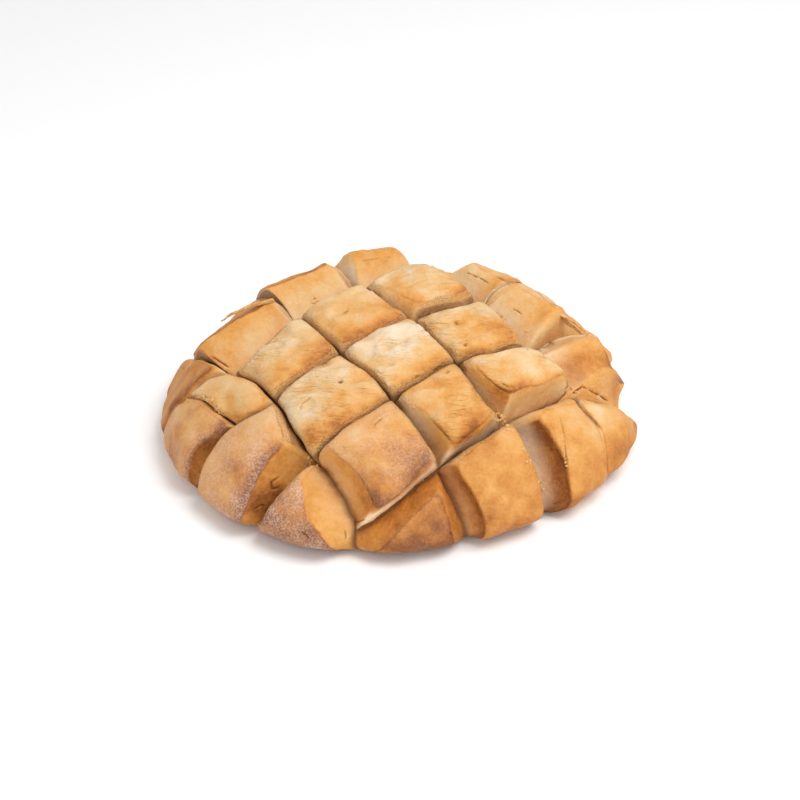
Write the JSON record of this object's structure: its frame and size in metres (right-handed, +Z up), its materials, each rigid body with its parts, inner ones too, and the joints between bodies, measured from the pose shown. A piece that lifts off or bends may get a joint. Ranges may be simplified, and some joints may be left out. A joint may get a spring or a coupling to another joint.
{
  "type": "candeal bread",
  "caption": "Round low wheat loaf on a flat base, its domed crust cut before baking into a slanting grid of raised blocks.",
  "frame": {"origin": "on the flat base, under the middle of the loaf's outline", "axes": "+Z up from the base, -Y towards the side that the picture faces, +X to that view's right"},
  "size_m": [0.233, 0.2332, 0.0725],
  "materials": {
    "crust": "baked crust, tan to golden brown, dry and matte"
  },
  "bodies": {
    "root": {"loaf": "crust"}
  },
  "joints": []
}
